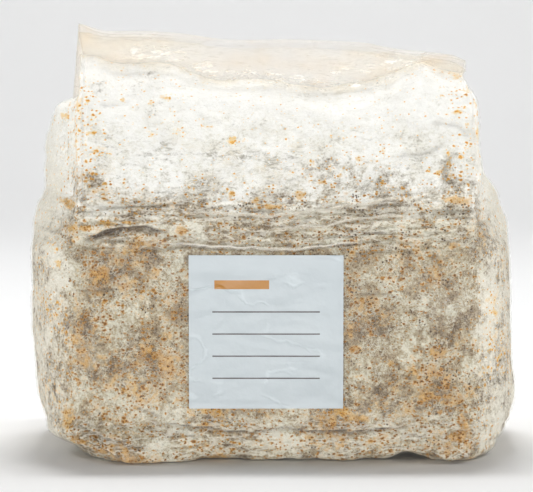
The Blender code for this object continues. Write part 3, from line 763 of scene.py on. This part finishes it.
def filled_rows(heights):
    """Base and body rows of the filled bag with their relief: points, outward directions, the highlight
    painted along the folds' edges and the shade painted under them, the rows' heights, and the columns'
    places."""
    way, right, behind = quarters(COLUMNS[None, :])
    points = np.concatenate([base_rows(COLUMNS, BASE_SHARES), body_rows(COLUMNS, heights)])
    height = np.concatenate([np.zeros(len(BASE_SHARES)), heights])[:, None]
    off, edge, under = relief(points, way, right, behind, height)
    off[: len(BASE_SHARES)] *= BASE_SHARES[:, None]
    out = facing(points)
    # The base's edge lifts off the ground here and there, and the front's lower left corner is tucked in
    lift = 0.0016 * smooth(0.012, 0.0, points[..., 2])
    lift = lift * smooth(0.75, 1.0, np.abs(points[..., 1]) / PROFILE[0, 3])
    lift = lift * smooth(-0.1, 0.5, crinkle(points, 0.02, 2, seed=31.0))
    points = points + out * off[..., None]
    left = smooth(-0.060, -0.095, points[..., 0])
    tucked = 0.011 * left * smooth(0.013, 0.003, points[..., 2]) * smooth(0.004, -0.024, points[..., 1])
    points[..., 0] += tucked
    points[..., 2] = np.maximum(points[..., 2] + lift, 0.0)
    return points, out, edge, under, height, (way, behind)


def make_block():
    """The block fills the film to its crest. Its fine lumps only draw it in, so the film stays outside it."""
    points, out, edge, under, height, (way, behind) = filled_rows(BLOCK_HEIGHTS)
    fine = 0.5 + 0.5 * crinkle(points, 0.0028, 2, seed=41.0)
    pits = smooth(0.25, 0.7, crinkle(points, 0.010, 3, seed=43.0))
    points = points - out * (FILM_GAP + 0.0003 * fine + 0.0006 * pits)[..., None]
    middle = curve(PROFILE, height)[3]
    close = np.sqrt(1 - 0.9 * smooth(0.190, BLOCK_HEIGHTS[-1], height))
    points[..., 1] = middle + (points[..., 1] - middle) * close
    points[..., 2] = np.maximum(points[..., 2], FILM_GAP)
    crest = points[-1:].copy()
    crest[..., 1] = PROFILE[-1, 4]
    crest[..., 2] += CREST_LIFT
    opposite = np.where(behind[0], np.sign(COLUMNS) * (2 * QUARTER - np.abs(COLUMNS)), COLUMNS)
    crest = crest[:, np.abs(COLUMNS[:, None] - opposite).argmin(axis=0)]
    points = np.concatenate([points, crest])
    edge, under = (np.concatenate([value, 0 * value[-1:]]) for value in (edge, under))
    height = np.concatenate([height, height[-1:]])
    block = loft("mycelium_block", points, block_marks(points, way, behind, height, edge, under))
    block.data.materials.append(block_material())
    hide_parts("substrate_block")


def block_material():
    """Sawdust grown through with mycelium: mottled cream and greige with rusty specks, whiter where it
    bloomed, with a highlight painted along the folds' edges and shade painted under them."""
    r = Recipe("mycelium and sawdust")
    bent, swept = r.warped(0.0020, 0.0014), r.warped(0.0060, 0.0050)
    white, rust, umber, grey, laid = (r.kept(name) for name in ("white", "rust", "umber", "grey", "laid"))

    broad = r.cloud(0.020, 3.0, 0.5)
    middling = r.cloud(0.0070, 3.0, 0.55, r.warped(0.004, 0.003))
    small = r.cloud(0.0028, 3.0, 0.6, bent)
    fine = r.cloud(0.0011, 2.0, 0.6)
    upright = r.cloud(0.0022, 3.0, 0.6, r.drawn((1.0, 1.0, 0.14)))
    level = r.cloud(0.0026, 3.0, 0.6, r.drawn((0.20, 0.5, 1.0), swept))
    tone = r.sum_of((broad, 0.9), (middling, 0.9), (small, 0.75), (fine, 0.65))
    tone = r.plus(tone, r.times(r.times(r.plus(upright, -0.5), r.kept("side")), 0.60))
    tone = r.plus(tone, r.times(r.times(r.plus(level, -0.44), laid), 0.80))

    ground = r.ramp(
        tone, (0.18, screen(88, 70, 48)), (0.37, screen(132, 113, 87)), (0.54, screen(168, 154, 126)),
        (0.76, screen(208, 206, 190)),
    )
    curls, hairs = r.threads(0.0032, bent, 0.040), r.threads(0.0018, r.drawn((0.7, 1.0, 1.0), swept), 0.045)
    web = r.times(r.sums("MAXIMUM", curls, hairs), r.between(r.cloud(0.010, 3.0), 0.38, 0.60, 0.25, 1.0))
    ground = r.paint(ground, web, 0.70, screen(220, 218, 202))
    pores = r.between(r.cloud(0.0013, 2.0, 0.6, bent), 0.57, 0.66)
    pores = r.times(pores, r.between(r.cloud(0.008, 2.0), 0.42, 0.60))
    ground = r.paint(ground, pores, 0.62, screen(92, 66, 40))
    strands = r.threads(0.0032, r.drawn((0.22, 0.6, 1.0), swept), 0.075)
    ground = r.paint(ground, r.times(strands, laid), 0.60, screen(233, 229, 216))

    bloom = r.ramp(
        tone, (0.10, screen(218, 214, 202)), (0.36, screen(239, 237, 229)), (0.62, screen(251, 250, 246)),
    )
    creamy = r.between(r.cloud(0.017, 4.0, 0.6, swept), 0.46, 0.66)
    creamy = r.times(creamy, r.between(grey, 0.0, 0.5, 0.12, 0.8))
    creamy = r.times(creamy, r.between(r.kept("fresh"), 0.0, 1.0, 1.0, 0.3))
    bloom = r.blend(creamy, bloom, screen(229, 221, 203))
    bloom = r.paint(bloom, r.kept("fresh"), 0.6, screen(253, 252, 249))
    bloom = r.paint(bloom, r.kept("dull"), 0.85, screen(214, 208, 192))
    veiled = r.between(r.stirred(white, tone, 1.1), 0.15, 0.85)
    shade = r.blend(veiled, ground, bloom)

    fibrous = r.cloud(0.0030, 5.0, 0.7, r.drawn((0.45, 1.0, 1.4), swept))
    cloudy = r.between(r.stirred(grey, fibrous, 3.0), 0.30, 1.05)
    greys = r.ramp(
        fibrous, (0.34, screen(232, 229, 221)), (0.50, screen(186, 181, 168)), (0.66, screen(136, 128, 112)),
    )
    shade = r.paint(shade, cloudy, 0.80, greys)
    wisps = r.threads(0.0040, r.drawn((0.35, 1.0, 1.1), swept), 0.035)
    wisps = r.times(r.times(wisps, white), r.between(r.kept("fresh"), 0.0, 1.0, 0.28, 0.12))
    shade = r.blend(wisps, shade, screen(196, 191, 178))
    light_wisps = r.threads(0.0026, r.drawn((0.45, 1.0, 1.1), swept), 0.045)
    shade = r.paint(shade, r.times(light_wisps, r.plus(white, grey)), 0.50, screen(250, 249, 245))

    wash = r.between(r.stirred(r.stirred(rust, middling, 2.0), small, 1.2), 0.58, 1.12)
    stain = r.ramp(small, (0.36, screen(140, 92, 20)), (0.6, screen(200, 150, 60)))
    shade = r.paint(shade, wash, 0.70, r.blend(white, stain, screen(236, 196, 108)))
    # Dark umber patches: mostly the block's own dark bits, partly painted shade under the left fold's lip and
    # in the right pocket.
    smudge_and_shade = r.between(r.stirred(umber, small, 2.0), 0.40, 1.20)
    shade = r.paint(shade, smudge_and_shade, 0.72, screen(108, 82, 56))

    # Specks: each cell holds one, whose size depends on how rusty its place is and on the cell's own chance.
    # Each layer: its cells' size, its largest speck, and how much rust gives the first and the largest specks
    amber = r.blend(white, screen(192, 144, 56), screen(250, 218, 140))
    tan = r.blend(white, screen(162, 104, 12), screen(240, 182, 62))
    bark = r.blend(white, screen(84, 50, 12), screen(204, 132, 32))
    ragged = r.plus(r.cloud(0.0010, 2.0, 0.6), -0.5)
    spotted = r.sums("MAXIMUM", rust, r.kept("specks"))
    lying = r.drawn((0.78, 1.0, 1.12), bent)
    layers = (0.0038, 0.25, 0.52, 1.15), (0.0025, 0.29, 0.32, 1.05), (0.0016, 0.32, 0.16, 0.95)
    for size, most, low, high in layers:
        near = r.cells(size, lying)
        chance = r.node("SeparateColor", {0: r.cells(size, lying, out="Color")}).outputs[0]
        radius = r.between(r.stirred(spotted, chance, 1.2), low, high, 0.0, most)
        depth = r.plus(r.sums("SUBTRACT", radius, near), r.times(ragged, 0.50))
        depth = r.sums("MINIMUM", depth, r.plus(r.times(radius, 4.0), -0.2))
        shade = r.paint(shade, r.between(depth, -0.14, 0.04), 0.55, amber)
        shade = r.paint(shade, r.between(depth, -0.03, 0.05), 0.90, tan)
        shade = r.paint(shade, r.between(depth, 0.04, 0.14), 0.85, bark)
    near = r.cells(DOT_SIZE, bent)
    chance = r.node("SeparateColor", {0: r.cells(DOT_SIZE, bent, out="Color")}).outputs[1]
    gathered = r.between(r.cloud(0.011, 2.0), 0.50, 0.66, 0.0, 0.5)
    radius = r.between(r.plus(r.plus(chance, gathered), r.times(umber, 0.6)), 0.78, 1.45, 0.0, 0.38)
    radius = r.times(radius, r.between(white, 0.8, 0.3))
    dots = r.between(r.sums("SUBTRACT", radius, near), -0.02, 0.07)
    shade = r.paint(shade, dots, 0.92, screen(70, 47, 27))
    shade = r.paint(shade, r.kept("rim"), 0.60, screen(243, 234, 216))
    # A painted highlight: a pale line along the folds' edges.
    shade = r.paint(shade, r.kept("edge"), 0.80, screen(240, 233, 214))
    # Painted shade: dark brown under the folds, broken up by noise.
    painted_fold_shade = r.times(r.kept("under"), r.between(r.stirred(small, fine, 0.8), 0.34, 0.54, 0.30, 1.0))
    shade = r.paint(shade, painted_fold_shade, 0.95, screen(58, 41, 24))

    normal = r.bump(r.plus(tone, r.times(web, 0.3)), 0.6, 0.0012)
    rough = r.between(tone, 0.3, 0.7, 0.9, 0.6)
    return r.show(r.surface(Base_Color=shade, Roughness=rough, Normal=normal))


def make_film():
    """The film clings to the block, stands up as a flat neck and folds over behind. Its pleats lie inside
    the neck."""
    points, out, edge, _, height, (way, _) = filled_rows(FILM_HEIGHTS)
    fine = np.abs(crinkle(points, 0.007, 3, seed=51.0, stretch=(1.6, 1.6, 0.7)))
    points = points + out * (0.00035 * smooth(0.35, 0.0, fine) * smooth(0.0, 0.02, points[..., 2]))[..., None]
    flap = flap_rows(COLUMNS, FLAP_LENGTHS)
    share = NECK_LIFTS[1:-1, None, None]
    neck = mix(points[-1:], flap[:1], share)
    seal = smooth(SEAL_FROM - 0.001, SEAL_FROM, FLAP_LENGTHS)
    rows = np.concatenate([points, neck, flap])
    haze, free = np.zeros(rows.shape[:2]), np.ones(rows.shape[:2])
    creased = bell(way - PANEL_HALF, 0.0012) * smooth(0.118, 0.132, height)
    # The folds' edges whiten the film as a painted highlight; the panels' creases whiten it too.
    haze[: len(edge)] = np.maximum(edge, 0.55 * creased)
    haze[-len(seal):] = seal[:, None]
    free[: len(edge)] = smooth(BLOCK_TOP - 0.006, BLOCK_TOP, height + 0.0 * edge)
    above = np.linalg.norm(rows - points[-1], axis=-1) * (free > 0.5)
    tucked = smooth(PANEL_HALF + 0.35 * GUSSET_HALF, QUARTER, way)
    in_neck = (np.arange(len(rows)) >= len(edge))[:, None]
    patches = smooth(-0.50, 0.60, crinkle(rows, 0.012, 3, seed=57.0, stretch=(2.4, 1.0, 0.8)))
    grown = bell(above, 0.012) * patches * smooth(0.085, 0.070, np.abs(rows[..., 0]))
    grown[-len(FLAP_LENGTHS) + GROWN_ROWS:] = 0.0
    faded = in_neck * tucked  # the pleats inside the neck hardly show
    film = loft("film_bag", rows, {"haze": haze, "free": free, "grown": grown * free, "faded": faded})
    film.data.materials.append(film_material())
    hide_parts("grow_bag")


def film_material():
    """Clear polypropylene film: lost to sight where it clings, hazed beige where it stands free, white along
    creases and its seal and where mycelium has grown on it, with a highlight painted along the folds' edges."""
    r = Recipe("clear film")
    free, grown = r.kept("free"), r.kept("grown")
    streaks = r.cloud(0.0035, 3.0, 0.6, r.drawn((0.30, 0.30, 1.5)), 0.6)
    # Pale streaks on the free film: painted glints.
    glint_streaks = r.times(r.between(streaks, 0.58, 0.76), r.between(free, 0.0, 1.0, 0.0, 0.10))
    haze = r.between(r.cloud(0.03, 1.0), 0.3, 0.7, 0.015, 0.045)
    haze = r.plus(haze, r.times(free, 0.055))
    # The kept haze: a painted highlight along the folds' edges, and whiter film along the creases and the
    # seal.
    haze = r.plus(r.plus(haze, glint_streaks), r.times(r.kept("haze"), 0.38))
    flecks = r.between(r.cloud(0.0022, 2.0, 0.6, r.drawn((0.35, 1.0, 1.3))), 0.56, 0.64)
    haze = r.plus(haze, r.times(r.times(grown, flecks), 0.75))
    facing_away = r.node("LayerWeight", {"Blend": 0.20}).outputs["Fresnel"]
    glint = r.times(facing_away, r.between(free, 0.0, 0.5, 0.14, 0.06))
    shown = r.times(r.plus(haze, glint), r.between(r.kept("faded"), 0.0, 1.0, 1.0, 0.0))
    shown = r.sums("MINIMUM", shown, 1.0)
    stained = r.between(r.cloud(0.009, 2.0, 0.65, r.drawn((0.6, 1.0, 1.0))), 0.45, 0.68)
    tint = r.blend(stained, screen(230, 218, 199), screen(236, 204, 156))
    tint = r.blend(free, screen(248, 247, 243), tint)
    tint = r.blend(r.sums("MAXIMUM", grown, r.kept("haze")), tint, screen(246, 244, 238))
    normal = r.bump(streaks, 0.25, 0.0006)
    milky = r.surface(Base_Color=tint, Roughness=0.30, Normal=normal)
    clear = r.node("BsdfTransparent", {"Color": (1.0, 1.0, 0.995, 1.0)}).outputs[0]
    return r.show(r.node("MixShader", {0: shown, 1: clear, 2: milky}).outputs[0])


def make_label():
    """The label follows the film's front under its own soft wrinkles."""
    bm, x, z, edge = sheet_grid(LABEL_CELLS, LABEL_SIDE)
    x, z = x + LABEL_X, z + LABEL_Z
    depth, middle = curve(PROFILE, z)[2:]
    plain = np.stack((x, middle - depth, z), axis=-1)
    ones = np.ones_like(x)
    off = relief(plain, np.abs(x), np.sign(x), ones < 0, z)[0]
    soft = 0.00028 * np.abs(crinkle(plain, 0.016, 2, seed=61.0, stretch=(1.6, 1.0, 0.7)))
    lifted = 0.0002 * smooth(0.93, 1.0, edge)
    ahead = LABEL_GAP + soft + lifted
    places = np.stack((x, plain[:, 1] - off - ahead, z), axis=-1)
    label = sheet_piece("blank_label", bm, places, -1, LABEL_THICKNESS, {})
    label.data.materials.append(label_material())
    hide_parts("label")


def label_material():
    """Satin white label stock, with a plain bar and rules to write on."""
    r = Recipe("label stock")
    x, _, z = r.node("SeparateXYZ", {0: r.place}).outputs
    x, z = r.plus(x, -LABEL_X), r.plus(z, -LABEL_Z)
    paper = r.blend(r.cloud(0.02, 3.0), screen(170, 179, 183), screen(179, 187, 190))
    paper = r.paint(paper, r.cloud(0.0006, 2.0), 0.10, screen(166, 172, 176))
    pressed = r.threads(0.024, r.drawn((0.6, 1.0, 1.0), r.warped(0.008, 0.006)), 0.030)
    pressed = r.times(pressed, r.between(r.cloud(0.018, 2.0), 0.45, 0.60))
    # Lighter streaks along the label's soft wrinkles: a painted highlight.
    paper = r.paint(paper, pressed, 0.6, screen(190, 199, 202))

    def box(middle_x, middle_z, half_wide, half_high):
        """1 inside a box on the label, with a slightly soft edge."""
        across = r.sums("SUBTRACT", half_wide, r.sums("ABSOLUTE", r.plus(x, -middle_x)))
        up = r.sums("SUBTRACT", half_high, r.sums("ABSOLUTE", r.plus(z, -middle_z)))
        return r.between(r.sums("MINIMUM", across, up), -INK_BLUR, INK_BLUR)

    shade = r.blend(box(*BAR), paper, screen(166, 110, 16))
    for at in RULES:
        shade = r.blend(box(0.0, at, RULE_HALF_WIDTH, RULE_HALF_HEIGHT), shade, screen(50, 38, 34))
    height = r.plus(r.plus(r.cloud(0.010, 3.0), r.times(pressed, 0.5)), r.times(r.cloud(0.0008, 2.0), 0.06))
    normal = r.bump(height, 0.35, 0.0010)
    return r.show(r.surface(Base_Color=shade, Roughness=0.38, Specular_IOR_Level=0.5, Normal=normal))


def make_patch():
    """The breather patch is welded on the flap's outer face."""
    bm, x, length, edge = sheet_grid(PATCH_CELLS, PATCH_SIDE)
    length = length + PATCH_MIDDLE
    welded = smooth(0.86, 0.90, edge)
    puffed = PATCH_PUFF * (1 - edge**2) * (1 - welded)
    places = flap_point(x, length, flap_wave(x, length) - NECK_HALF_DEPTH - PATCH_GAP - puffed)
    patch = sheet_piece("breather_patch", bm, places, 1, PATCH_THICKNESS, {"weld": welded})
    patch.data.materials.append(patch_material())
    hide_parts("filter_patch")


def patch_material():
    """Bonded white fibre cloth with a grid of bonding points, pressed clear and flat round its weld."""
    r = Recipe("breather cloth")
    fibres = r.cloud(0.0009, 5.0, 0.7, r.drawn((1.0, 1.0, 0.25)), 1.5)
    points = {"Vector": r.place, "Scale": 1 / BONDING_STEP, "Randomness": 0.15}
    points = r.node("TexVoronoi", points).outputs["Distance"]
    pressed = r.between(points, 0.34, 0.22)
    shade = r.ramp(fibres, (0.35, screen(214, 216, 212)), (0.62, screen(240, 241, 238)))
    shade = r.paint(shade, pressed, 0.35, screen(200, 203, 199))
    shade = r.paint(shade, r.kept("weld"), 0.5, screen(222, 218, 206))
    normal = r.bump(r.sums("SUBTRACT", r.times(fibres, 0.5), pressed), 0.5, 0.0004)
    return r.show(r.surface(Base_Color=shade, Roughness=0.85, Normal=normal))


def make_stage():
    """A pale sweep: a floor that curves up into a wall behind."""
    bm = bmesh.new()
    bmesh.ops.create_grid(bm, x_segments=2, y_segments=60, size=1.0)
    for v in bm.verts:
        run = (v.co.y + 1) / 2 * SWEEP_RUN
        turn = min(max((run - SWEEP_FLAT) / SWEEP_RADIUS, 0.0), math.pi / 2)
        wall = max(run - SWEEP_FLAT - SWEEP_RADIUS * math.pi / 2, 0.0)
        y = SWEEP_FROM + min(run, SWEEP_FLAT) + SWEEP_RADIUS * math.sin(turn)
        v.co = (v.co.x * SWEEP_HALF_WIDTH, y, SWEEP_RADIUS * (1 - math.cos(turn)) + wall)
    bmesh.ops.recalc_face_normals(bm, faces=bm.faces[:])
    sweep = smooth_object("sweep", bm)
    r = Recipe("pale paper")
    shade = r.blend(r.cloud(0.3), (0.88, 0.882, 0.882, 1.0), (0.90, 0.902, 0.902, 1.0))
    sweep.data.materials.append(r.show(r.surface(Base_Color=shade, Roughness=1.0, Specular_IOR_Level=0.0)))


def area_light(name, energy, size, place, target):
    light = bpy.data.lights.new(name, "AREA")
    light.shape = "RECTANGLE"
    light.size, light.size_y = size
    light.energy = energy
    lamp = add_object(name, light)
    lamp.location = place
    lamp.rotation_euler = (Vector(target) - Vector(place)).to_track_quat("-Z", "Y").to_euler()


def make_lights():
    """The lamps, and a faint even light all round."""
    world = bpy.data.worlds.new("studio")
    world.use_nodes = True
    world.node_tree.nodes["Background"].inputs["Color"].default_value = (1.0, 1.0, 1.0, 1.0)
    world.node_tree.nodes["Background"].inputs["Strength"].default_value = 0.05
    bpy.context.scene.world = world
    for lamp in LAMPS:
        area_light(*lamp)


def make_camera():
    camera = bpy.data.cameras.new("camera")
    camera.lens = CAMERA_LENS
    camera.sensor_width = 36.0
    holder = add_object("camera", camera)
    target = Vector(CAMERA_TARGET)
    back = Vector((0.0, -math.cos(CAMERA_ELEVATION), math.sin(CAMERA_ELEVATION)))
    holder.location = target + CAMERA_DISTANCE * back
    holder.rotation_euler = (math.pi / 2 - CAMERA_ELEVATION, 0.0, 0.0)
    bpy.context.scene.camera = holder


make_block()
make_film()
make_label()
make_patch()
make_stage()
make_lights()
make_camera()
bpy.context.scene.view_settings.view_transform = "Standard"
bpy.context.scene.cycles.transparent_max_bounces = 24
